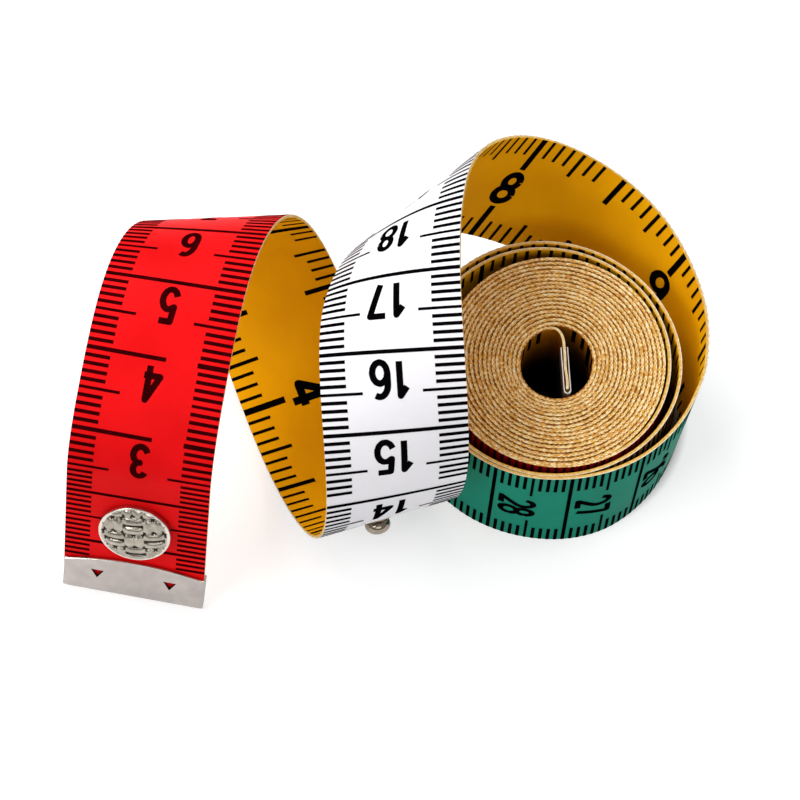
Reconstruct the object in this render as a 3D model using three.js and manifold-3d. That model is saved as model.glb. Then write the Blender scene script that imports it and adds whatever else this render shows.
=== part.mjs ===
// A soft tape measure, partly rolled up, with its free end curling over the table.
// Millimetres, Z up. The roll stands on one edge of the tape, with its axis upright.
import * as THREE from 'three';
import { mergeVertices } from 'three/addons/utils/BufferGeometryUtils.js';
import Module from 'manifold-3d';

const wasm = await Module();
wasm.setup();

// The tape
const tapeWidth = 18;
const tapeThickness = 0.4;
const jointGap = 0.3;
const seatGap = 0.3;
const cutOverrun = 1;

// The roll
const rollRadius = 14.3;
const boreRadius = 4.5;

// The free end springs from the roll, so its length follows the roll's radius. Its bends open with
// the roll's radius and, a little, with the width of the tape.
const curlLengthShare = 20.28;
const curlRollShare = 1.133;
const curlWidthShare = 0.1;
const curlLength = rollRadius * curlLengthShare;
const curlUnit = rollRadius * curlRollShare + tapeWidth * curlWidthShare;

// Where the free end bends as a hinge, along the tape from its tip
const redJointShare = 0.172;
const yellowJointShare = 0.386;
const whiteJointShare = 0.586;
const redJointPlace = curlLength * redJointShare;
const yellowJointPlace = curlLength * yellowJointShare;
const whiteJointPlace = curlLength * whiteJointShare;

// The metal clips that bind both ends
const clipDepth = 6;
const clipSheet = 0.35;
const clipBow = 1.4;
const innerClipBow = 0.2;
const toothWidth = 1.5;
const toothDepth = 1.1;
const toothWidthShares = [-0.263, 0.255];

// The snap's cap half, riveted through the tape near its tip
const snapPlace = 14.3;
const capRadius = 4.75;
const capHeight = 1.7;
const capSheet = 0.4;
const rivetHeadRadius = 3.4;
const rivetHeadThickness = 0.4;
const rivetShankRadius = 0.9;
const socketRadius = 4.4;
const socketHeight = 2.4;
const socketFloor = 0.5;
const socketMouthRadius = 2.2;
const springWireRadius = 0.25;
const springSpacing = 3;

// The snap's stud half, riveted through the tape one turn of the closed roll behind the cap
const closedRollShare = 1.226;
const studPlace = snapPlace + 2 * Math.PI * rollRadius * closedRollShare;
const studFlangeRadius = 3.1;
const studFlangeThickness = 0.45;
const studNeckRadius = 1.2;
const studHeadRadius = 1.65;
const studHeight = 2.9;
const eyeletRadius = 2.5;
const eyeletThickness = 0.4;
const eyeletShankRadius = 0.5;

// The inner end of the tape, which crosses the bore
const innerStartShares = [0.184, 0.877];
const innerEndShares = [0.333, -0.8];

// How the free end curls: place as a share of curlLength, bend as a share (curlUnit over the
// radius of the bend), and the slant of the bend across a tape as wide as curlUnit, in degrees
const curlShares = [
  [1, 1.304, 0],
  [0.97, 1.008, -1.9],
  [0.94, 0.93, 3.8],
  [0.9, 0.995, -6.5],
  [0.85, 0.952, -5.8],
  [0.795, 0.933, -32.5],
  [0.73, 0.753, -16.6],
  [0.67, 0.714, 19.3],
  [0.605, 1.042, 40.2],
  [0.54, 0.867, 24.3],
  [0.48, 1.231, 12.9],
  [0.42, 0.857, -4.6],
  [0.36, 0.923, 21.8],
  [0.3, 0.819, 21.3],
  [0.235, 1.061, 14.1],
  [0.17, 1.02, 10.8],
  [0.125, 0.2, 13.9],
  [0.083, 2.465, 0],
];
const flatEndShare = 0.083;

// Distance of the loose turns from the axis of the roll, one for each quarter turn inwards
const looseTurnShares = [
  1.252, 1.216, 1.224, 1.115, 1.108, 1.158, 1.161, 1.053, 1.045, 1.04, 1.037, 1.035,
];
const looseStartAngle = -54;
// The curve through these shares starts at the second and stops at the third from last
const leadShares = 1;
const tailShares = 3;
const looseQuarters = looseTurnShares.length - leadShares - tailShares;

const pathSteps = 524;
const rulingSteps = 22;
const stepsPerQuarter = 9;
const roundSegments = 40;
const rollSegments = 72;

const red = new THREE.Color(0xd8151d);
const yellow = new THREE.Color(0xe0a010);
const white = new THREE.Color(0xf4f3f6);
const green = new THREE.Color(0x14806a);
const cream = new THREE.Color(0xcdb070);
const nickel = new THREE.Color(0xc4c0bb);

const group = new THREE.Group();

function plastic(color) {
  return new THREE.MeshStandardMaterial({ color, roughness: 0.45, metalness: 0 });
}

function metal() {
  return new THREE.MeshStandardMaterial({ color: nickel, roughness: 0.28, metalness: 1 });
}

function addMesh(name, geometry, material) {
  const mesh = new THREE.Mesh(geometry, material);
  mesh.name = name;
  group.add(mesh);
  return mesh;
}

// A solid from a closed geometry, and back
function toSolid(geometry, matrix) {
  const bare = geometry.clone();
  bare.deleteAttribute('normal');
  bare.deleteAttribute('uv');
  const merged = mergeVertices(bare, tapeThickness / 10000);
  if (matrix) {
    merged.applyMatrix4(matrix);
  }
  const vertProperties = new Float32Array(merged.attributes.position.array);
  const triVerts = new Uint32Array(merged.index.array);
  return new wasm.Manifold(new wasm.Mesh({ numProp: 3, vertProperties, triVerts }));
}

function toGeometry(solid) {
  const mesh = solid.getMesh();
  const geometry = new THREE.BufferGeometry();
  geometry.setAttribute('position', new THREE.BufferAttribute(new Float32Array(mesh.vertProperties), 3));
  geometry.setIndex(new THREE.BufferAttribute(new Uint32Array(mesh.triVerts), 1));
  geometry.computeVertexNormals();
  return geometry;
}

function turned(profile, segments) {
  const points = profile.map(([radius, height]) => new THREE.Vector2(radius, height));
  const geometry = new THREE.LatheGeometry(points, segments);
  return geometry.rotateX(Math.PI / 2);
}

function rod(radius, length) {
  return new THREE.CylinderGeometry(radius, radius, length, roundSegments).rotateX(Math.PI / 2);
}

// A point of the loose turns, with u counted in quarter turns
function loosePoint(u) {
  const last = looseTurnShares.length - 3;
  const i = Math.min(Math.max(Math.floor(u), 1), last);
  const f = u - i;
  const [a, b, c, d] = looseTurnShares.slice(i - 1, i + 3);
  const bend = 2 * a - 5 * b + 4 * c - d + f * (3 * b - a - 3 * c + d);
  const share = b + 0.5 * f * (c - a + f * bend);
  const angle = THREE.MathUtils.degToRad(looseStartAngle - 90 * u);
  const radius = rollRadius * share;
  return new THREE.Vector3(radius * Math.cos(angle), radius * Math.sin(angle), tapeWidth / 2);
}

function looseFrame(u) {
  const du = 0.001;
  const along = loosePoint(u + du).sub(loosePoint(u - du)).normalize();
  const across = new THREE.Vector3(0, 0, 1);
  const out = new THREE.Vector3().crossVectors(across, along);
  return { point: loosePoint(u), along, across, out, slant: 0 };
}

// The bend and the slant at a place of the free end
function curlAt(place) {
  const share = place / curlLength;
  if (share < flatEndShare) {
    return { bend: 0, slant: 0 };
  }
  let i = 0;
  while (i < curlShares.length - 2 && share < curlShares[i + 1][0]) {
    i += 1;
  }
  const [fromShare, fromBend, fromSlant] = curlShares[i];
  const [toShare, toBend, toSlant] = curlShares[i + 1];
  const f = (fromShare - share) / (fromShare - toShare);
  const bend = (fromBend + (toBend - fromBend) * f) / curlUnit;
  const slant = THREE.MathUtils.degToRad(fromSlant + (toSlant - fromSlant) * f);
  return { bend, slant };
}

// The free end's middle line, followed from the roll to the tip
function followCurl() {
  const frames = [];
  const step = curlLength / pathSteps;
  let { point, along, across } = looseFrame(leadShares);
  for (let i = 0; i <= pathSteps; i += 1) {
    const place = curlLength - i * step;
    const slant = curlAt(place).slant;
    const out = new THREE.Vector3().crossVectors(across, along);
    frames.push({ point, along, across, out, slant });
    const middle = curlAt(place - step / 2);
    const half = (middle.bend * step) / 2;
    const ruling = across.clone().multiplyScalar(Math.cos(middle.slant));
    ruling.addScaledVector(along, Math.sin(middle.slant));
    const nextAlong = along.clone().applyAxisAngle(ruling, half);
    point = point.clone().addScaledVector(nextAlong, -step);
    along = nextAlong.clone().applyAxisAngle(ruling, half).normalize();
    across = across.clone().applyAxisAngle(ruling, half * 2);
    across.addScaledVector(along, -across.dot(along)).normalize();
  }
  return frames;
}

const curlFrames = followCurl();

// The frame of the free end at any place along it
function curlFrame(place) {
  const at = ((curlLength - place) / curlLength) * pathSteps;
  const i = Math.min(Math.max(Math.floor(at), 0), pathSteps - 1);
  const f = at - i;
  const from = curlFrames[i];
  const to = curlFrames[i + 1];
  const point = from.point.clone().lerp(to.point, f);
  const along = from.along.clone().lerp(to.along, f).normalize();
  const across = from.across.clone().lerp(to.across, f);
  across.addScaledVector(along, -across.dot(along)).normalize();
  const out = new THREE.Vector3().crossVectors(across, along);
  return { point, along, across, out, slant: curlAt(place).slant };
}

// A closed strip of tape through the frames, its ends cut along the bend's own slant
function strip(frames, width, thickness) {
  const positions = [];
  const index = [];
  for (const { point, along, across, out, slant } of frames) {
    const reach = across.clone().addScaledVector(along, Math.tan(slant));
    for (const [side, face] of [[-1, 1], [1, 1], [1, -1], [-1, -1]]) {
      const corner = point.clone().addScaledVector(reach, (side * width) / 2);
      corner.addScaledVector(out, (face * thickness) / 2);
      positions.push(corner.x, corner.y, corner.z);
    }
  }
  for (let i = 0; i < frames.length - 1; i += 1) {
    for (let j = 0; j < 4; j += 1) {
      const a = i * 4 + j;
      const b = i * 4 + ((j + 1) % 4);
      index.push(a, b, b + 4, a, b + 4, a + 4);
    }
  }
  const end = (frames.length - 1) * 4;
  index.push(0, 2, 1, 0, 3, 2, end, end + 1, end + 2, end, end + 2, end + 3);
  const geometry = new THREE.BufferGeometry();
  geometry.setAttribute('position', new THREE.Float32BufferAttribute(positions, 3));
  geometry.setIndex(index);
  if (volume(geometry) < 0) {
    const flipped = [];
    for (let i = 0; i < index.length; i += 3) {
      flipped.push(index[i], index[i + 2], index[i + 1]);
    }
    geometry.setIndex(flipped);
  }
  geometry.computeVertexNormals();
  return geometry;
}

function volume(geometry) {
  const position = geometry.attributes.position;
  const index = geometry.index.array;
  let sum = 0;
  for (let i = 0; i < index.length; i += 3) {
    const a = new THREE.Vector3().fromBufferAttribute(position, index[i]);
    const b = new THREE.Vector3().fromBufferAttribute(position, index[i + 1]);
    const c = new THREE.Vector3().fromBufferAttribute(position, index[i + 2]);
    sum += a.dot(b.cross(c));
  }
  return sum;
}

function stretch(from, to) {
  const frames = [];
  for (let i = 0; i <= rulingSteps; i += 1) {
    frames.push(curlFrame(from + ((to - from) * i) / rulingSteps));
  }
  return strip(frames, tapeWidth, tapeThickness);
}

// Places a piece on the tape: its X across the tape, its Y along it, its Z out of its face
function placeOn(frame) {
  const x = frame.across.clone();
  const matrix = new THREE.Matrix4().makeBasis(x, frame.along, frame.out);
  return matrix.setPosition(frame.point);
}

function placed(mesh, matrix) {
  matrix.decompose(mesh.position, mesh.quaternion, mesh.scale);
  return mesh;
}

// The rolled-up turns, wound tight, as one ring
const rollProfile = [
  [boreRadius, 0],
  [rollRadius, 0],
  [rollRadius, tapeWidth],
  [boreRadius, tapeWidth],
  [boreRadius, 0],
];
addMesh('tight_roll', turned(rollProfile, rollSegments), plastic(cream));

// The loose turns round it
const looseFrames = [];
const looseSteps = looseQuarters * stepsPerQuarter;
const startNudge = jointGap / rollRadius;
for (let i = 0; i <= looseSteps; i += 1) {
  const span = looseQuarters - startNudge;
  looseFrames.push(looseFrame(leadShares + startNudge + (span * i) / looseSteps));
}
addMesh('loose_turns', strip(looseFrames, tapeWidth, tapeThickness), plastic(green));

// The free end, in stretches that bend against each other
const half = jointGap / 2;
const tipInset = clipSheet + seatGap;
const snapFrame = curlFrame(snapPlace);
const studFrame = curlFrame(studPlace);
addMesh('tape_rise', stretch(whiteJointPlace + half, curlLength), plastic(green));

const studHole = eyeletShankRadius + seatGap;
const whiteSolid = toSolid(stretch(yellowJointPlace + half, whiteJointPlace - half));
const studCut = toSolid(rod(studHole, tapeThickness + 2 * cutOverrun), placeOn(studFrame));
addMesh('tape_white', toGeometry(whiteSolid.subtract(studCut)), plastic(white));

addMesh('tape_yellow', stretch(redJointPlace + half, yellowJointPlace - half), plastic(yellow));

const snapHole = rivetShankRadius + seatGap;
const redSolid = toSolid(stretch(tipInset, redJointPlace - half));
const snapCut = toSolid(rod(snapHole, tapeThickness + 2 * cutOverrun), placeOn(snapFrame));
addMesh('tape_red', toGeometry(redSolid.subtract(snapCut)), plastic(red));

// The inner end of the tape, straight across the bore
const innerStart = new THREE.Vector3(
  boreRadius * innerStartShares[0], boreRadius * innerStartShares[1], tapeWidth / 2);
const innerStop = new THREE.Vector3(
  boreRadius * innerEndShares[0], boreRadius * innerEndShares[1], tapeWidth / 2);
const innerAlong = innerStop.clone().sub(innerStart).normalize();
const innerAcross = new THREE.Vector3(0, 0, 1);
const innerOut = new THREE.Vector3().crossVectors(innerAcross, innerAlong);
const innerBasis = { along: innerAlong, across: innerAcross, out: innerOut, slant: 0 };
const innerTapeEnd = innerStop.clone().addScaledVector(innerAlong, -tipInset);
const innerFrames = [{ point: innerStart, ...innerBasis }, { point: innerTapeEnd, ...innerBasis }];
addMesh('tape_inner_end', strip(innerFrames, tapeWidth, tapeThickness), plastic(yellow));

// The end clips, folded from sheet round the tape, with a bowed edge and two pierced teeth
function clip(bow) {
  const inner = tapeThickness / 2 + seatGap;
  const outer = inner + clipSheet;
  const reach = clipDepth + bow;
  const outline = new THREE.Shape();
  outline.moveTo(reach, inner);
  outline.lineTo(reach, outer);
  outline.lineTo(clipSheet, outer);
  outline.lineTo(0, inner);
  outline.lineTo(0, -inner);
  outline.lineTo(clipSheet, -outer);
  outline.lineTo(reach, -outer);
  outline.lineTo(reach, -inner);
  outline.lineTo(clipSheet, -inner);
  outline.lineTo(clipSheet, inner);
  outline.closePath();
  const body = new THREE.ExtrudeGeometry(outline, { depth: tapeWidth, bevelEnabled: false });
  body.translate(0, 0, -tapeWidth / 2);
  const basis = new THREE.Matrix4().makeBasis(
    new THREE.Vector3(0, 1, 0), new THREE.Vector3(0, 0, 1), new THREE.Vector3(1, 0, 0));
  const side = tapeWidth / 2;
  const plan = new THREE.Shape();
  plan.moveTo(-side - cutOverrun, -cutOverrun);
  plan.lineTo(side + cutOverrun, -cutOverrun);
  plan.lineTo(side, clipDepth);
  plan.quadraticCurveTo(0, clipDepth + 2 * bow, -side, clipDepth);
  plan.closePath();
  const blank = new THREE.ExtrudeGeometry(plan, { depth: 2 * (outer + cutOverrun), bevelEnabled: false });
  blank.translate(0, 0, -outer - cutOverrun);
  let solid = toSolid(body, basis).intersect(toSolid(blank));
  for (const share of toothWidthShares) {
    const tooth = new THREE.Shape();
    tooth.moveTo(-toothWidth / 2, toothDepth / 2);
    tooth.lineTo(0, -toothDepth / 2);
    tooth.lineTo(toothWidth / 2, toothDepth / 2);
    tooth.closePath();
    const cut = new THREE.ExtrudeGeometry(tooth, { depth: clipSheet + seatGap, bevelEnabled: false });
    cut.translate(tapeWidth * share, clipDepth * 0.62, inner - seatGap / 2);
    solid = solid.subtract(toSolid(cut));
  }
  return toGeometry(solid);
}
placed(addMesh('tip_clip', clip(clipBow), metal()), placeOn(curlFrame(0)));
const innerClipFrame = { point: innerStop, ...innerBasis };
innerClipFrame.along = innerAlong.clone().negate();
innerClipFrame.across = innerAcross.clone().negate();
placed(addMesh('inner_clip', clip(innerClipBow), metal()), placeOn(innerClipFrame));

// The snap's cap half
const face = tapeThickness / 2;
const capFoot = face + seatGap;
const capTop = capFoot + capHeight;
const capInner = capRadius - capSheet;
const capCrown = capHeight - capSheet;
const capProfile = [
  [0, capTop - capSheet],
  [capInner * 0.7, capTop - capSheet - capCrown * 0.16],
  [capInner, capFoot + capCrown * 0.45],
  [capInner, capFoot],
  [capRadius, capFoot],
  [capRadius, capFoot + capCrown * 0.5],
  [capRadius * 0.9, capFoot + capCrown * 0.85],
  [capRadius * 0.6, capTop - capCrown * 0.1],
  [0, capTop],
];
placed(addMesh('snap_cap', turned(capProfile, roundSegments), metal()), placeOn(snapFrame));

const socketTop = -face - seatGap;
const shankEnd = socketTop - socketFloor - seatGap;
const rivetHeadFoot = capFoot;
const rivetProfile = [
  [0, shankEnd - rivetHeadThickness],
  [rivetShankRadius * 1.7, shankEnd - rivetHeadThickness],
  [rivetShankRadius * 1.7, shankEnd],
  [rivetShankRadius, shankEnd],
  [rivetShankRadius, rivetHeadFoot],
  [rivetHeadRadius, rivetHeadFoot],
  [rivetHeadRadius, rivetHeadFoot + rivetHeadThickness],
  [0, rivetHeadFoot + rivetHeadThickness],
];
placed(addMesh('snap_rivet', turned(rivetProfile, roundSegments), metal()), placeOn(snapFrame));

const socketFoot = socketTop - socketHeight;
const socketProfile = [
  [snapHole, socketTop],
  [snapHole, socketTop - socketFloor],
  [socketMouthRadius, socketTop - socketFloor],
  [socketMouthRadius, socketFoot],
  [socketRadius * 0.72, socketFoot],
  [socketRadius, socketFoot + socketHeight * 0.3],
  [socketRadius, socketTop],
  [snapHole, socketTop],
];
const wireLevel = socketFoot + springWireRadius + seatGap * 2;
const wireLength = socketRadius * 1.2;
let socketSolid = toSolid(turned([...socketProfile].reverse(), roundSegments));
if (socketSolid.volume() < 0) {
  socketSolid = toSolid(turned(socketProfile, roundSegments));
}
for (const side of [-1, 1]) {
  const channel = new THREE.CylinderGeometry(
    springWireRadius + seatGap, springWireRadius + seatGap, wireLength + 2 * seatGap, 16);
  channel.translate((side * springSpacing) / 2, 0, wireLevel);
  socketSolid = socketSolid.subtract(toSolid(channel));
}
placed(addMesh('snap_socket', toGeometry(socketSolid), metal()), placeOn(snapFrame));
for (const [name, side] of [['socket_wire_left', -1], ['socket_wire_right', 1]]) {
  const wire = new THREE.CylinderGeometry(springWireRadius, springWireRadius, wireLength, 16);
  wire.translate((side * springSpacing) / 2, 0, wireLevel);
  placed(addMesh(name, wire, metal()), placeOn(snapFrame));
}

// The snap's stud half
const studFoot = face + seatGap;
const studTop = studFoot + studHeight;
const eyeletTip = studFoot + studHeight * 0.4;
const studBore = eyeletShankRadius + seatGap;
const studProfile = [
  [0, eyeletTip + seatGap],
  [studBore, eyeletTip + seatGap],
  [studBore, studFoot],
  [studFlangeRadius, studFoot],
  [studFlangeRadius, studFoot + studFlangeThickness],
  [studNeckRadius, studFoot + studFlangeThickness * 1.6],
  [studNeckRadius, studTop - studHeadRadius * 1.05],
  [studHeadRadius, studTop - studHeadRadius * 0.6],
  [studHeadRadius * 0.85, studTop - studHeadRadius * 0.18],
  [studHeadRadius * 0.5, studTop],
  [0, studTop],
];
placed(addMesh('snap_stud', turned(studProfile, roundSegments), metal()), placeOn(studFrame));

const eyeletTop = -face - seatGap * 1.7;
const eyeletProfile = [
  [0, eyeletTop - eyeletThickness],
  [eyeletRadius, eyeletTop - eyeletThickness],
  [eyeletRadius, eyeletTop],
  [eyeletShankRadius, eyeletTop],
  [eyeletShankRadius, eyeletTip],
  [0, eyeletTip],
];
placed(addMesh('stud_eyelet', turned(eyeletProfile, roundSegments), metal()), placeOn(studFrame));

// The least gap between one loose turn and the next, measured on points
let leastGap = Infinity;
for (let i = 0; i <= looseSteps - 4 * stepsPerQuarter; i += 1) {
  const a = looseFrames[i].point;
  for (let j = i + 2 * stepsPerQuarter; j <= looseSteps; j += 1) {
    leastGap = Math.min(leastGap, a.distanceTo(looseFrames[j].point) - tapeThickness);
  }
}
console.log('least gap between loose turns, mm:', leastGap.toFixed(2));

// The origin is at the middle of the outline on the table
const box = new THREE.Box3().setFromObject(group);
group.position.set(-(box.min.x + box.max.x) / 2, -(box.min.y + box.max.y) / 2, -box.min.z);
console.log('moved by', group.position.toArray().map((v) => v.toFixed(4)).join(' '));
console.log('size', box.max.clone().sub(box.min).toArray().map((v) => v.toFixed(2)).join(' '));
for (const place of [redJointPlace, yellowJointPlace, whiteJointPlace]) {
  const frame = curlFrame(place);
  const at = frame.point.clone().add(group.position);
  const axis = frame.across.clone().addScaledVector(frame.along, Math.tan(frame.slant)).normalize();
  const text = [at, axis].map((v) => v.toArray().map((n) => n.toFixed(4)).join(' ')).join(' | ');
  console.log('bend at', place, text);
}

export default group;
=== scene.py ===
import math
import random

import bmesh
import bpy
from mathutils import Matrix, Vector


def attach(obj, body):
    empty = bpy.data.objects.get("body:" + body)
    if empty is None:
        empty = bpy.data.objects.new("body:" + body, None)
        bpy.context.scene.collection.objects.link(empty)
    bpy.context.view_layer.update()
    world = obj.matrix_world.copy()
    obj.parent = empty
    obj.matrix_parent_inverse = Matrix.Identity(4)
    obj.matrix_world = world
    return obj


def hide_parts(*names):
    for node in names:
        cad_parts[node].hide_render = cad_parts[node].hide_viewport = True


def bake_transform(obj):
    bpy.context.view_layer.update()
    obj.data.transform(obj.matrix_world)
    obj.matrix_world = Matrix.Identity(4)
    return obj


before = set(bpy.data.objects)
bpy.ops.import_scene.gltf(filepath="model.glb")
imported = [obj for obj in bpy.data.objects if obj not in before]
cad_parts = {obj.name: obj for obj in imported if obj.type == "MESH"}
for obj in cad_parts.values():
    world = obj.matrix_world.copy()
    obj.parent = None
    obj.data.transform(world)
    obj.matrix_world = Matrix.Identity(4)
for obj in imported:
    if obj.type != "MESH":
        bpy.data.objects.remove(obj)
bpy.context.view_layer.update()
random.seed(7)
MM = 0.001

# Sizes are in millimetres here, and MM turns them into metres. The solids share these ones
WIDTH = 18.0
HALF = WIDTH / 2
ROLL_R = 14.3
BORE_R = 4.5
CURL = ROLL_R * 20.28
CURL_UNIT = ROLL_R * 1.133 + WIDTH * 0.1
SNAP_PLACE = 14.3
STUD_PLACE = SNAP_PLACE + 2 * math.pi * ROLL_R * 1.226
CLIP_DEPTH = 6
TOOTH_SHARES = (-0.263, 0.255)
# From the axis of the roll to the middle of the frame
SHIFT = Vector((19.7993, 2.8551, 0.0001))
# The tape's thickness with its printed coat
THICK = 0.42
# Bend of the free end: share of its length, bend share, slant of the bend line in degrees
CURL_SHARES = [
    (1, 1.304, 0), (0.97, 1.008, -1.9), (0.94, 0.93, 3.8), (0.9, 0.995, -6.5),
    (0.85, 0.952, -5.8), (0.795, 0.933, -32.5), (0.73, 0.753, -16.6), (0.67, 0.714, 19.3),
    (0.605, 1.042, 40.2), (0.54, 0.867, 24.3), (0.48, 1.231, 12.9), (0.42, 0.857, -4.6),
    (0.36, 0.923, 21.8), (0.3, 0.819, 21.3), (0.235, 1.061, 14.1), (0.17, 1.02, 10.8),
    (0.125, 0.2, 13.9), (0.083, 2.465, 0),
]
# Share of the free end, at its tip, that stays flat
FLAT_END = 0.083
# Loose turns: distance from the axis at each quarter turn, as a share of the roll's radius
LOOSE = [1.252, 1.216, 1.224, 1.115, 1.1, 1.158, 1.161, 1.053, 1.024, 1.04, 1.037, 1.035]
# and what the photo adds to it between them: quarter turn and distance, mm
LOOSE_OUT = [(2.6, 0), (3.4, 0.24), (4.1, 0), (6.8, 0), (7.4, -0.26), (8.0, 0)]
# Angle of the first of them in degrees, how many quarter turns there are, the step between two
# rows in quarter turns, and the number of steps along the free end
LOOSE_START = -54
LOOSE_QUARTERS = 8.0
LOOSE_STEP = 0.03
PATH_STEPS = 524
# Printed place where the stretch that rises from the roll begins
RISE_FROM = 214.0
# Tight turns: their pitch, how much of it the tape fills, how far the innermost one is from
# the bore, and the angle in degrees at which it leaves the wall
TIGHT_PITCH = 0.568
TIGHT_FILL = 0.87
BORE_GAP = 0.16
HOOK_ANGLE = 101
STEPS_A_TURN = 72
# The winding is a little oval, its bore reaches lower at the near side over the inner turns,
# and each turn sways in and out and rises a little
OVAL = 0.028
BORE_LOW, BORE_LOW_TURNS = 0.5, 5
SWAY, RIPPLE, RISE = 0.05, 0.03, 0.05
# The last turn of the free end sits this much nearer to the roll: angle and distance
NEAR_TURN = [(-152, 0), (-125, 0.36), (-60, 0.42), (-30, 0.6), (-12, 0.6), (6, 0.25), (24, 0)]


def eased(table, at):
    """A value that eases from one entry of a table to the next, and is zero outside it."""
    for (a0, v0), (a1, v1) in zip(table, table[1:]):
        if a0 <= at < a1:
            f = (at - a0) / (a1 - a0)
            return v0 + (v1 - v0) * f * f * (3 - 2 * f)
    return 0.0


# The path of the tape
def loose_point(u):
    """Point of the loose turns at a number of quarter turns, on a smooth curve through the table."""
    i = min(max(int(math.floor(u)), 1), len(LOOSE) - 3)
    f = u - i
    a, b, c, d = LOOSE[i - 1:i + 3]
    share = b + 0.5 * f * (c - a + f * (2 * a - 5 * b + 4 * c - d + f * (3 * b - a - 3 * c + d)))
    angle = math.radians(LOOSE_START - 90 * u)
    r = ROLL_R * share + eased(LOOSE_OUT, u)
    return Vector((r * math.cos(angle), r * math.sin(angle), HALF))


def loose_frame(u):
    """Point, along and across of the loose turns."""
    along = (loose_point(u + 0.001) - loose_point(u - 0.001)).normalized()
    return loose_point(u), along, Vector((0, 0, 1))


def curl_at(place):
    """Bend and slant of the bend line at a place of the free end."""
    share = place / CURL
    if share < FLAT_END:
        return 0.0, 0.0
    i = 0
    while i < len(CURL_SHARES) - 2 and share < CURL_SHARES[i + 1][0]:
        i += 1
    s0, b0, t0 = CURL_SHARES[i]
    s1, b1, t1 = CURL_SHARES[i + 1]
    f = (s0 - share) / (s0 - s1)
    return (b0 + (b1 - b0) * f) / CURL_UNIT, math.radians(t0 + (t1 - t0) * f)


def follow_curl():
    """Rows of the free end: place, point, along, across. The tip comes first."""
    rows = []
    step = CURL / PATH_STEPS
    p, t, w = loose_frame(1)
    for i in range(PATH_STEPS + 1):
        place = CURL - i * step
        near = 0.0
        if place > RISE_FROM:
            near = eased(NEAR_TURN, math.degrees(math.atan2(p.y, p.x)))
        flat = Vector((p.x, p.y, 0)).normalized()
        rows.append((place, p - flat * near, t.copy(), w.copy()))
        bend, slant = curl_at(place - step / 2)
        half = bend * step / 2
        g = w * math.cos(slant) + t * math.sin(slant)
        mid = Matrix.Rotation(half, 3, g) @ t
        p = p - mid * step
        t = (Matrix.Rotation(half, 3, g) @ mid).normalized()
        w = Matrix.Rotation(half * 2, 3, g) @ w
        w = (w - t * w.dot(t)).normalized()
    rows.reverse()
    return rows


def add_loose_turns(rows):
    """Rows from the free end's last one on to the tight winding."""
    place, last = CURL, loose_point(1)
    steps = int(round((LOOSE_QUARTERS - 1) / LOOSE_STEP))
    for i in range(1, steps + 1):
        p, t, w = loose_frame(1 + i * LOOSE_STEP)
        place += (p - last).length
        last = p
        rows.append((place, p, t, w))


def add_tight_turns(rows):
    """The tight winding, a spiral that ends where the tape leaves the wall of the bore."""
    place, last = rows[-1][0], rows[-1][1]
    start = math.atan2(last.y, last.x)
    r_from = math.hypot(last.x, last.y)
    r_to = BORE_R + BORE_GAP
    part = ((start - math.radians(HOOK_ANGLE)) / (2 * math.pi)) % 1.0
    turns = round((r_from - r_to) / TIGHT_PITCH - part) + part
    pitch = (r_from - r_to) / turns
    steps = int(turns * STEPS_A_TURN)
    for i in range(1, steps + 1):
        turn = turns * i / steps
        a = start - 2 * math.pi * turn
        fade = min(turn / 2, 1.0) * min((turns - turn) / 2, 1.0)
        sway = SWAY * math.sin(2 * a + 0.4 * turn) + RIPPLE * math.sin(5 * a + 1 + 0.7 * turn)
        oval = 1 - OVAL * min(turn * 2, 1.0) * math.cos(2 * a)
        r = (r_from - pitch * turn) * oval + fade * sway
        r += BORE_LOW * max(0.0, 1 - (turns - turn) / BORE_LOW_TURNS) * max(0.0, -math.sin(a))
        rise = RISE * fade * math.sin(1.7 * turn) * math.sin(a + turn)
        p = Vector((r * math.cos(a), r * math.sin(a), HALF + RISE * fade + rise))
        place += (p - last).length
        last = p
        rows.append((place, p, Vector((math.sin(a), -math.cos(a), 0)), Vector((0, 0, 1))))
    return pitch


# Rows of the whole tape: place, point, along, across
ROWS = follow_curl()
add_loose_turns(ROWS)
LOOSE_TO = ROWS[-1][0]
PITCH = add_tight_turns(ROWS)
TIGHT_THICK = PITCH * TIGHT_FILL
PLACES = [row[0] for row in ROWS]
TAPE_END = PLACES[-1]


def ruling(s0):
    """Point, along, across and slant at a place of the middle line."""
    low, high = 0, len(ROWS) - 2
    while low < high:
        mid = (low + high + 1) // 2
        if PLACES[mid] <= s0:
            low = mid
        else:
            high = mid - 1
    a, b = ROWS[low], ROWS[low + 1]
    f = (s0 - a[0]) / (b[0] - a[0])
    p = a[1].lerp(b[1], f)
    t = a[2].lerp(b[2], f).normalized()
    w = a[3].lerp(b[3], f)
    w = (w - t * w.dot(t)).normalized()
    slant = curl_at(s0)[1] if s0 <= CURL else 0.0
    return p, t, w, slant


def on_tape(s, across, lift=0.0):
    """The point of the tape at a printed place and a distance across it, lifted off the
    middle of its thickness: above zero is the front."""
    s0 = s
    if s < CURL + HALF:
        for _ in range(5):
            slant = curl_at(s0)[1] if s0 <= CURL else 0.0
            s0 = s - across * math.tan(slant)
    p, t, w, slant = ruling(s0)
    q = p + w * across + t * (across * math.tan(slant)) + w.cross(t) * lift
    return (q + SHIFT) * MM


def basis(x, y, z, origin):
    """The matrix of three axes and an origin."""
    m = Matrix(((x.x, y.x, z.x), (x.y, y.y, z.y), (x.z, y.z, z.z))).to_4x4()
    m.translation = origin
    return m


def place_on_tape(s):
    """The frame of a fitting on the tape: X across, Y along, Z out of the front."""
    p, t, w, _ = ruling(s)
    return basis(w, t, w.cross(t), p + SHIFT)


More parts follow.
